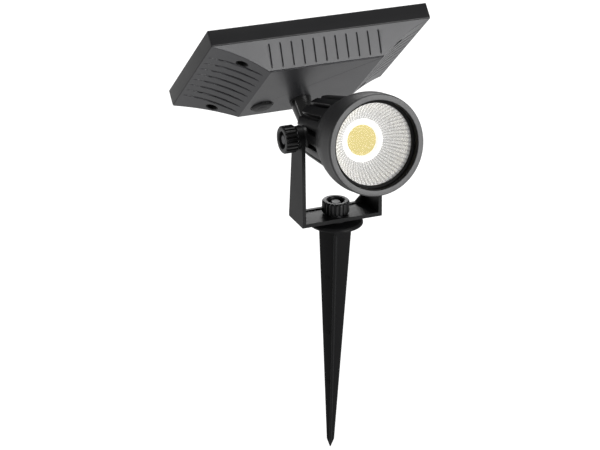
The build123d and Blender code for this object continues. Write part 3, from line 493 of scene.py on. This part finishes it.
class SPOTLIGHT_OT_optics(bpy.types.Operator):
    """Builds the faceted reflector, the white holder and the yellow light source"""
    bl_idname = "spotlight.optics"
    bl_label = "Reflector and light source"

    def execute(self, context):
        sizes = context.scene.spotlight_sizes
        spokes, rings, bulge = sizes.reflector_spokes, sizes.reflector_rings, sizes.facet_height / MM
        steps = 6          # points along and across each facet
        count = rings * steps + 1
        inside = hermite((15.9, 44.6), (29.3, 59.2), (22, 9.9), (8, 16), count)
        pillow_along = np.abs(np.sin(pi * np.linspace(0, rings, count)))

        def facets(turn, radius, height):
            """The radius less a pillow on each facet of the inner face: the bulge times the square
            roots of the two sines that are zero at the facet's sides and at its ends."""
            pillow = np.abs(np.sin(turn * spokes / 2))
            rise = np.zeros(radius.shape[1])
            rise[:count] = pillow_along
            return radius - bulge * (np.sqrt(pillow) * np.sqrt(rise))

        back = [(31.2, 59.2), (31.2, 58.0), (29.6, 58.0)]
        outside = hermite((29.6, 58.0), (15.9, 43.4), (-8, -16), (-22, -9.9), 24)
        outline = np.concatenate([inside, back, outside[1:]])
        grid = on_lamp(outline, count=spokes * steps, radius_of=facets)
        piece = shell("faceted_reflector", [(grid, True, True)], 60)
        # marks the creases that get painted shade
        mark_valley_shade(piece.data, spokes)
        place(piece, "lamp", finishes["reflector_chrome"], "reflector_chrome", "reflector")
        holder = soften([(11.25, 42.6), (11.25, 42.9), (12.7, 44.5), (15.8, 44.6), (15.8, 42.6)], 0.3, 4)
        piece = shell("white_holder", [(on_lamp(holder, count=128), True, True)], 50)
        place(piece, "lamp", finishes["holder_white"], "holder_white", "chip_holder")
        r = np.linspace(0, 10.8, 24)
        sink = 0.05        # the disc's edge lies this much below its middle
        dome = np.stack([r, 43.2 - sink * (r / 10.8) ** 2], 1)
        rim = np.array([(11.0, 43.1), (11.1, 42.95), (11.1, 42.6), (0, 42.6)])
        piece = shell("phosphor_disc", [(on_lamp(np.concatenate([dome, rim]), count=96), True, False)], 50)
        place(piece, "lamp", finishes["chip_yellow"], "chip_yellow", "light_chip")
        return {"FINISHED"}


class SPOTLIGHT_OT_barrel(bpy.types.Operator):
    """Builds the ribbed lamp barrel with its two pivot bosses"""
    bl_idname = "spotlight.barrel"
    bl_label = "Lamp barrel"

    def execute(self, context):
        sizes = context.scene.spotlight_sizes
        slots, width = sizes.barrel_slots, sizes.slot_width / MM
        pitch = 2 * pi / slots
        slot_floor, slot_end, front_lip = 22.9, 24.5, 29.2
        outer = np.linspace((25.0, -17.2), (29.5, 28.6), 48)
        outline = np.concatenate([
            soften([(0.01, -18.0), (0.01, -23.0), (17.8, -23.0), (25.0, -17.9)], 0.6, 4)[4:16],
            outer,
            np.array([(29.4, 29.1), (29.0, 29.3), (26.2, 29.3), (26.2, 37.8), (19.8, 37.8), (19.8, -18.0),
                      (15.8, -20.0), (0.01, -20.0)]),
        ])

        def ribbed(turn, radius, height):
            """The radius less a slot's depth: the slot is full near each slot's middle and fades over
            its rounded edges, and along the barrel it ends in a smooth ramp."""
            off = np.abs((turn + pitch / 2) % pitch - pitch / 2)
            across = off * radius
            wall = 1 / (1 + np.exp((across - width / 2) / 0.16))
            along = 1 / (1 + np.exp((height - slot_end) / 0.5))
            outside = (radius > slot_floor - 0.3) & (height < front_lip)
            return radius - outside * wall * along * np.maximum(radius - slot_floor, 0)

        grid = turned(outline, PIVOT, BEAM, X * cos(pitch / 2) + np.cross(BEAM, X) * sin(pitch / 2),
                      count=slots * 36, radius_of=ribbed)
        grids = [(grid, True, False)]
        boss = soften([(8.4, 19.9), (8.4, 28.6), (4.0, 28.6), (4.0, 19.9)], 0.5, 4)
        for side in (-1, 1):
            grids.append((turned(boss, PIVOT, X * side, Z, count=96), True, True))
        piece = shell("ribbed_barrel", grids, 34)
        place(piece, "lamp", finishes["lamp_plastic"], "lamp_plastic", "lamp_housing")
        return {"FINISHED"}


class SPOTLIGHT_OT_knobs(bpy.types.Operator):
    """Builds the three ribbed clamping knobs and their domed bolts"""
    bl_idname = "spotlight.knobs"
    bl_label = "Clamping knobs"

    def execute(self, context):
        sizes = context.scene.spotlight_sizes
        r, ribs, flute_depth = sizes.knob_radius / MM, sizes.knob_ribs, 1.1
        outline = soften([(2.55, 0), (r - 0.5, 0), (r, 0.6), (r, 8.5), (r - 0.9, 9.4), (6.9, 9.4),
                          (6.2, 8.8), (6.0, 5.8), (2.55, 5.8)], 0.28, 4)

        def gripped(turn, radius, height):
            """The radius less narrow flutes between wide ribs, which run out at the rounded rim."""
            off = np.abs((turn * ribs / (2 * pi)) % 1 - 0.5)
            flute = np.exp(-((off / 0.2) ** 4))
            wall = np.clip((radius - (r - 1.3)) / 0.7, 0, 1) * np.clip((9.3 - height) / 0.8, 0, 1)
            return radius - flute_depth * flute * wall

        for name, origin, axis, side in (
            ("swivel", np.array([0, 0, 8.6]), Z, X),
            ("left", np.array([-34.9, 0, 72.45]), -X, Z),
            ("right", np.array([34.9, 0, 72.45]), X, Z),
        ):
            piece = shell(f"{name}_grip", [(turned(outline, origin, axis, side, count=ribs * 14,
                                                   radius_of=gripped), True, True)], 40)
            place(piece, f"{name}_knob_set", finishes["knob_plastic"], "knob_plastic", f"{name}_knob")
            piece = bevelled(f"{name}_cap_bolt", f"{name}_bolt", 0.35)
            place(piece, f"{name}_knob_set", finishes["dark_steel"], "bolt_steel", f"{name}_bolt")
        return {"FINISHED"}


class SPOTLIGHT_OT_stake(bpy.types.Operator):
    """Builds the finned stake with its flange, tabs and moulding marks"""
    bl_idname = "spotlight.stake"
    bl_label = "Ground stake"

    def execute(self, context):
        length = context.scene.spotlight_sizes.stake_length / MM
        turn = radians(-23.5)
        side = np.array([cos(turn), sin(turn), 0])
        away = np.array([-sin(turn), cos(turn), 0])
        point = 7.0        # length of the sharp end
        z = np.concatenate([np.linspace(0.2, -length + point, 90),
                            np.linspace(-length + point - 0.5, -length + 0.1, 12)])
        wide = np.interp(z, [-length, -length + point, 0], [0.35, 2.9, 12.4])
        thick = np.interp(z, [-length, -length + point, 0], [0.3, 1.05, 1.3])
        root = np.interp(z, [-length, -14, 0], [0.1, 1.4, 3.3])

        # one arm of the cross: round its end, then along the soft corner to the next arm
        sweep = np.linspace(-1, 1, 11)[None, :]
        end = wide[:, None] - thick[:, None] * (1 - np.sqrt(1 - sweep ** 2))
        round_end = np.stack([end, sweep * thick[:, None]], -1)
        lead = np.linspace(0, 1, 7)[None, :-1]
        corner = np.stack([thick[:, None] + root[:, None] * (1 - lead) ** 2,
                           thick[:, None] + root[:, None] * lead ** 2], -1)
        path = np.concatenate([round_end, corner[:, 1:]], 1)
        rings = []
        for quarter in range(4):
            c, s = cos(quarter * pi / 2), sin(quarter * pi / 2)
            rings.append(np.stack([path[..., 0] * c - path[..., 1] * s,
                                   path[..., 0] * s + path[..., 1] * c], -1))
        section = np.concatenate(rings, 1)
        fins = section[..., 0, None] * side + section[..., 1, None] * away + z[:, None, None] * Z
        caps = [fins[0], fins[-1][::-1]]
        flange = soften([(0.01, 0), (20.5, 0), (20.8, 0.4), (20.8, 1.3), (19.6, 3.0), (9.6, 3.0),
                         (9.5, 5.0), (2.7, 5.0), (2.7, 1.2), (0.01, 1.2)], 0.5, 4)
        grids = [(fins, False, True), (turned(flange, np.zeros(3), Z, X, count=128), True, True)]
        for quarter in range(4):
            c, s = cos(quarter * pi / 2), sin(quarter * pi / 2)
            out = side * c + away * s
            across = away * c - side * s
            tab = soften([(11.0, 0.05), (18.2, 0.05), (11.8, -6.0), (11.0, -6.0)], 0.6, 4)
            body = tab[:, 0, None] * out + tab[:, 1, None] * Z
            layers = np.stack([body + across * t for t in (-1.25, -1.0, 1.0, 1.25)])
            layers[[0, -1]] = layers[[0, -1]] * 0.97 + layers[[0, -1]].mean(1, keepdims=True) * 0.03
            grids.append((layers, False, True))
            caps += [layers[0], layers[-1][::-1]]
        mark = soften([(0.01, -0.4), (1.9, -0.4), (1.9, 0.12), (1.3, 0.18), (0.01, 0.1)], 0.1, 3)
        for depth in (-46, -92, -135):
            for face in (-1, 1):
                middle = -side * np.interp(depth, [-length, 0], [1.4, 6.6]) + Z * depth + away * face * 1.2
                grids.append((turned(mark, middle, away * face, side, count=24), True, True))
        piece = shell("finned_stake", grids, 34, caps)
        place(piece, "stake", finishes["stake_plastic"], "stake_plastic", "ground_stake")
        return {"FINISHED"}


class SPOTLIGHT_OT_yoke(bpy.types.Operator):
    """Builds the U-shaped yoke, the tail bracket and the glossy neck with rounded edges"""
    bl_idname = "spotlight.yoke"
    bl_label = "Yoke, bracket and neck"

    def execute(self, context):
        place(bevelled("soft_edged_yoke", "yoke_bracket", 0.45), "yoke", finishes["yoke_plastic"],
              "yoke_plastic", "yoke_bracket")
        place(bevelled("tail_knuckle", "tail_bracket", 0.5), "lamp", finishes["lamp_plastic"],
              "lamp_plastic", "tail_bracket")
        place(bevelled("gloss_neck", "neck_stem", 0.35), "neck", finishes["neck_plastic"],
              "neck_plastic", "neck_stem")
        return {"FINISHED"}


class SPOTLIGHT_OT_head(bpy.types.Operator):
    """Builds the grooved back housing, the panel's rim and the rubber button"""
    bl_idname = "spotlight.head"
    bl_label = "Solar head"

    def execute(self, context):
        groove = context.scene.spotlight_sizes.groove_depth / MM
        hu, hw, deep = 87.75, 55.55, 22.4
        edge, side_in, front_in, rear_in, sag = 0.4, 42.9, 8.8, 16.8, 2.1
        screw_u, screw_w = 62.6, 41.0
        seat_depth, seat_radius, line_depth = 4.6, 3.75, 0.7
        t = np.unique(np.concatenate([np.linspace(0, 1, 41), np.linspace(0.94, 1, 18),
                                      np.linspace(0.46, 0.7, 31)]))
        run = np.hypot(side_in - edge, deep)
        hollow = 4 * t * (1 - t) * sag
        u_t = hu - edge - (side_in - edge) * t - hollow * deep / run
        d_t = deep * t - hollow * (side_in - edge) / run
        w_front = hw - edge - (front_in - edge) * d_t / deep
        w_rear = -hw + edge + (rear_in - edge) * d_t / deep

        def groove_lines(pitch, count, middle, spread):
            """Fixed lines across a row of grooves: close together in each groove and wide apart
            between, so that every groove keeps straight, even sides."""
            centres = middle + (np.arange(count) - (count - 1) / 2) * pitch
            half = np.array([0.15, 0.35, 0.55, 0.75, 0.95, 1.4])
            steps = np.concatenate([-half[::-1], half, [pitch / 2 / spread]]) * spread
            lines = (centres[:, None] + steps).ravel()[:-1]
            return lines, np.abs(lines[:, None] - centres).min(1)[:, None]

        def sides(sign):
            """A side slope: the hollow arc carried from the rear hip to the front hip, less the
            lens-shaped grooves, the line along the front hip and the screws' round seats."""
            lines, near = groove_lines(9.9, 8, 2.2, 1.5)
            lead, tail = np.linspace(0, 1, 44)[:, None], np.linspace(0, 1, 52)[:, None]
            w = np.concatenate([
                w_rear + (lines[0] - 0.6 - w_rear) * lead,
                np.broadcast_to(lines[:, None], (len(lines), len(t))),
                lines[-1] + 0.6 + (w_front - lines[-1] - 0.6) * tail,
            ])
            lens = np.clip(1 - ((t - 0.49) / 0.45) ** 2, 0, 1)[None, :] ** 0.7
            cut = groove * 1.6 * lens * np.clip((0.3 + 0.85 * lens - near) / 0.3 + 0.5, 0, 1)
            cut = np.concatenate([np.zeros((len(lead), len(t))), cut, np.zeros((len(tail), len(t)))])
            hip = np.clip(1 - np.abs((w_front - w) - 0.55) / 0.4, 0, 1) * 0.5 * (t > 0.02)
            inward = cut + hip
            u = u_t - inward * deep / run
            d = d_t - inward * (side_in - edge) / run
            for centre in (-screw_w, screw_w):
                seat = 1 / (1 + np.exp((np.hypot(u - screw_u, w - centre) - seat_radius) / 0.1))
                d = d * (1 - seat) + seat_depth * seat
            u[[0, -1]], d[[0, -1]] = u_t, d_t
            return head_point(sign * u, w, d)

        def front():
            """The front slope: flat between its hips, with upright grooves and a fine line along
            the underside's edge."""
            lines, near = groove_lines(8.74, 11, 0.0, 1.0)
            keep = np.abs(lines) < 44.3
            lines, near = lines[keep], near[keep]
            wing = np.linspace(0, 1, 9)[:, None]
            left_wing = -u_t + (lines[0] - 0.2 + u_t) * wing
            u = np.concatenate([left_wing, np.broadcast_to(lines[:, None], (len(lines), len(t))),
                                -left_wing[::-1]])
            ends = np.clip((8.9 - np.abs((d_t - deep / 2) * 1.068)) / 0.8, 0, 1)
            cut = groove * ends * np.clip((0.42 - near) / 0.3 + 0.5, 0, 1)
            cut = np.concatenate([np.zeros((9, len(t))), cut, np.zeros((9, len(t)))])
            cut = cut + np.clip(1.4 - np.abs(deep - 0.6 - d_t) / 0.4, 0, 1) * line_depth
            cut[[0, -1]] = 0
            return head_point(u, w_front - cut, d_t)

        rear = head_point(u_t * np.linspace(-1, 1, 12)[:, None], w_rear, d_t)
        face, left, right = front(), sides(-1), sides(1)
        grids = [(grid, False, False) for grid in (face, rear, left, right)]
        caps = [np.concatenate([face[:, j], right[::-1, j], rear[::-1, j], left[:, j]]) for j in (0, -1)]
        piece = shell("grooved_housing", grids, 24, caps)
        place(piece, "solar_head", finishes["housing_plastic"], "housing_plastic", "back_housing")

        # painted shade: near-black sleeves put inside the screw holes, where there is only shade
        turn = np.linspace(0, 2 * pi, 48, endpoint=False)[:, None]
        wall = np.array([3.15, 3.15, 3.65, 3.65])
        wells = []
        for side in (-1, 1):
            for w in (-screw_w, screw_w):
                u = screw_u + wall * np.cos(turn)
                top = np.interp(u, u_t[::-1], d_t[::-1]) - 0.45
                d = np.where(np.array([True, False, False, True]), 4.7, top)
                wells.append((head_point(side * u, w + wall * np.sin(turn), d), True, True))
        piece = shell("screw_wells", wells, 50)
        place(piece, "solar_head", finishes["recess_plastic"], "housing_plastic")

        section = soften([(-0.75, 0), (0, -0.75), (0, -12.2), (-0.5, -12.7), (-2.3, -12.7), (-2.4, -12.5),
                          (-2.4, -0.1)], 0.2, 3)
        corner = np.linspace(0, pi / 2, 7)
        path, out = [], []
        for k, (su, sw) in enumerate(((1, 1), (-1, 1), (-1, -1), (1, -1))):
            angle = corner + k * pi / 2
            out.append(np.stack([np.cos(angle), np.sin(angle)], 1))
            path.append(np.array([su * (hu - 1.2), sw * (hw - 1.2)]) + 1.2 * out[-1])
        path, out = np.concatenate(path), np.concatenate(out)
        flat = path[:, None] + section[None, :, 0, None] * out[:, None]
        # behind the corner's own radius the section keeps square, as the inside of a frame is
        inside = np.minimum(np.abs(flat), np.array([hu, hw]) + section[None, :, 0, None])
        flat = np.sign(flat) * inside
        rim = head_point(flat[..., 0], flat[..., 1], np.broadcast_to(section[None, :, 1], flat.shape[:2]))
        shelf = soften([(-2.3, -8.6), (-8.4, -8.6), (-8.4, -4.9), (-2.3, -4.9)], 0.2, 3)
        square = np.array([(1, 1), (-1, 1), (-1, -1), (1, -1)])[:, None]
        ledge = square * (np.array([hu, hw]) + shelf[None, :, 0, None])
        ledge = head_point(ledge[..., 0], ledge[..., 1],
                           np.broadcast_to(shelf[None, :, 1], ledge.shape[:2]))
        piece = shell("panel_rim", [(rim, True, True), (ledge, True, True)], 30)
        place(piece, "solar_head", finishes["frame_plastic"], "frame_plastic", "panel_frame")

        middle = HEAD - 30.7 * X - 21.8 * UPHILL
        r = np.linspace(0, 1, 18)
        crown = np.stack([6.9 * r, 25.0 - 0.75 * r ** 2 - 0.25 * np.exp(-((r - 0.62) / 0.06) ** 2)], 1)
        skirt = np.array([(7.5, 23.9), (7.95, 23.3), (8.1, 22.6), (8.15, 20.2), (9.2, 20.1), (9.2, 18.8),
                          (0, 18.8)])
        piece = shell("button_dome", [(turned(np.concatenate([crown, skirt]), middle, DOWN, X, count=96),
                                       True, False)], 50)
        place(piece, "button", finishes["button_rubber"], "button_rubber", "power_button")
        # painted shade: a near-black ring in the gap round the button
        collar = soften([(8.25, 21.9), (9.1, 21.9), (9.05, 22.55), (8.45, 22.62)], 0.2, 3)
        piece = shell("button_collar", [(turned(collar, middle, DOWN, X, count=96), True, True)], 50)
        place(piece, "solar_head", finishes["recess_plastic"], "housing_plastic")
        return {"FINISHED"}


class SPOTLIGHT_OT_stage(bpy.types.Operator):
    """Sets the pale floor, the soft lights and the camera"""
    bl_idname = "spotlight.stage"
    bl_label = "Stage"

    def execute(self, context):
        scene = context.scene
        low = -scene.spotlight_sizes.stake_length
        mesh = bpy.data.meshes.new("floor")
        far = 30.0
        corners = [(-far, -far, low), (far, -far, low), (far, far, low), (-far, far, low)]
        mesh.from_pydata(corners, [], [(0, 1, 2, 3)])
        floor = bpy.data.objects.new("floor", mesh)
        scene.collection.objects.link(floor)
        # the floor and the sky are bright behind the object and dimmer in what they throw on it
        pale = moulded("pale_floor", (0.3, 0.3, 0.3), 0.9, 30, 0.0, 0.0)
        shader = pale.node_tree.nodes["Principled BSDF"]
        shader.inputs["Emission Color"].default_value = (1, 1, 1, 1)
        path = pale.node_tree.nodes.new("ShaderNodeLightPath")
        glow = socket_node(pale.node_tree, "ShaderNodeMapRange", To_Min=0.4, To_Max=0.92)
        pale.node_tree.links.new(path.outputs["Is Camera Ray"], glow.inputs["Value"])
        pale.node_tree.links.new(glow.outputs["Result"], shader.inputs["Emission Strength"])
        floor.data.materials.append(pale)
        world = bpy.data.worlds.new("soft_studio")
        scene.world = world
        world.use_nodes = True
        world.node_tree.nodes["Background"].inputs["Color"].default_value = (1, 1, 1, 1)
        sky = world.node_tree
        sky_path = sky.nodes.new("ShaderNodeLightPath")
        bright = socket_node(sky, "ShaderNodeMapRange", To_Min=0.22, To_Max=1.0)
        sky.links.new(sky_path.outputs["Is Camera Ray"], bright.inputs["Value"])
        sky.links.new(bright.outputs["Result"], sky.nodes["Background"].inputs["Strength"])
        for name, where, size, power in (
            ("front_softbox", (0.62, -1.4, 0.34), 0.95, 19.0),
            ("left_softbox", (-1.6, 0.1, 0.55), 0.5, 3.0),
            ("top_softbox", (0.3, 0.5, 1.8), 1.0, 8.0),
            ("back_softbox", (0.6, 1.35, 0.62), 0.7, 7.0),
        ):
            data = bpy.data.lights.new(name, "AREA")
            data.size, data.energy = size, power
            lamp = bpy.data.objects.new(name, data)
            scene.collection.objects.link(lamp)
            lamp.location = where
            lamp.rotation_euler = (Vector((0, 0, 0.03)) - Vector(where)).to_track_quat("-Z", "Y").to_euler()
        azimuth, rise, roll = radians(23.83), radians(24.347), radians(0.872)
        aim, reach = Vector((-28.76, 0, 2.26)) * MM, 1.62583
        back = Vector((-sin(azimuth) * cos(rise), -cos(azimuth) * cos(rise), sin(rise)))
        right = (-back).cross(Vector((0, 0, 1))).normalized()
        up = right.cross(-back)
        across = right * cos(roll) + up * sin(roll)
        upright = up * cos(roll) - right * sin(roll)
        data = bpy.data.cameras.new("garden_view")
        data.lens, data.sensor_width, data.clip_end = 131.64, 36.0, 100.0
        camera = bpy.data.objects.new("garden_view", data)
        scene.collection.objects.link(camera)
        turn = Matrix((across, upright, back)).transposed().to_4x4()
        camera.matrix_world = Matrix.Translation(aim + back * reach) @ turn
        scene.camera = camera
        scene.view_settings.view_transform = "Standard"
        return {"FINISHED"}


class SPOTLIGHT_PT_panel(bpy.types.Panel):
    """Lists the sizes, the finishes and the steps"""
    bl_label = "Solar garden spotlight"
    bl_space_type = "VIEW_3D"
    bl_region_type = "UI"
    bl_category = "Spotlight"

    def draw(self, context):
        for group in (context.scene.spotlight_sizes, context.scene.spotlight_finish):
            for key in group.bl_rna.properties.keys():
                if key not in ("rna_type", "name"):
                    self.layout.prop(group, key)
        for step in STEPS:
            self.layout.operator(step.bl_idname)


STEPS = (
    SPOTLIGHT_OT_stage, SPOTLIGHT_OT_finishes, SPOTLIGHT_OT_ring, SPOTLIGHT_OT_optics, SPOTLIGHT_OT_barrel,
    SPOTLIGHT_OT_knobs, SPOTLIGHT_OT_stake, SPOTLIGHT_OT_yoke, SPOTLIGHT_OT_head,
)


def register():
    for kind in (SpotlightSizes, SpotlightFinish, *STEPS, SPOTLIGHT_PT_panel):
        bpy.utils.register_class(kind)
    bpy.types.Scene.spotlight_sizes = PointerProperty(type=SpotlightSizes)
    bpy.types.Scene.spotlight_finish = PointerProperty(type=SpotlightFinish)


def unregister():
    del bpy.types.Scene.spotlight_finish
    del bpy.types.Scene.spotlight_sizes
    for kind in reversed((SpotlightSizes, SpotlightFinish, *STEPS, SPOTLIGHT_PT_panel)):
        bpy.utils.unregister_class(kind)


def main():
    """Registers the classes and makes every piece in order."""
    register()
    bpy.ops.spotlight.finishes()
    bpy.ops.spotlight.stage()
    for step in STEPS[2:]:
        getattr(bpy.ops.spotlight, step.bl_idname.split(".")[1])()


if __name__ == "__main__":
    main()
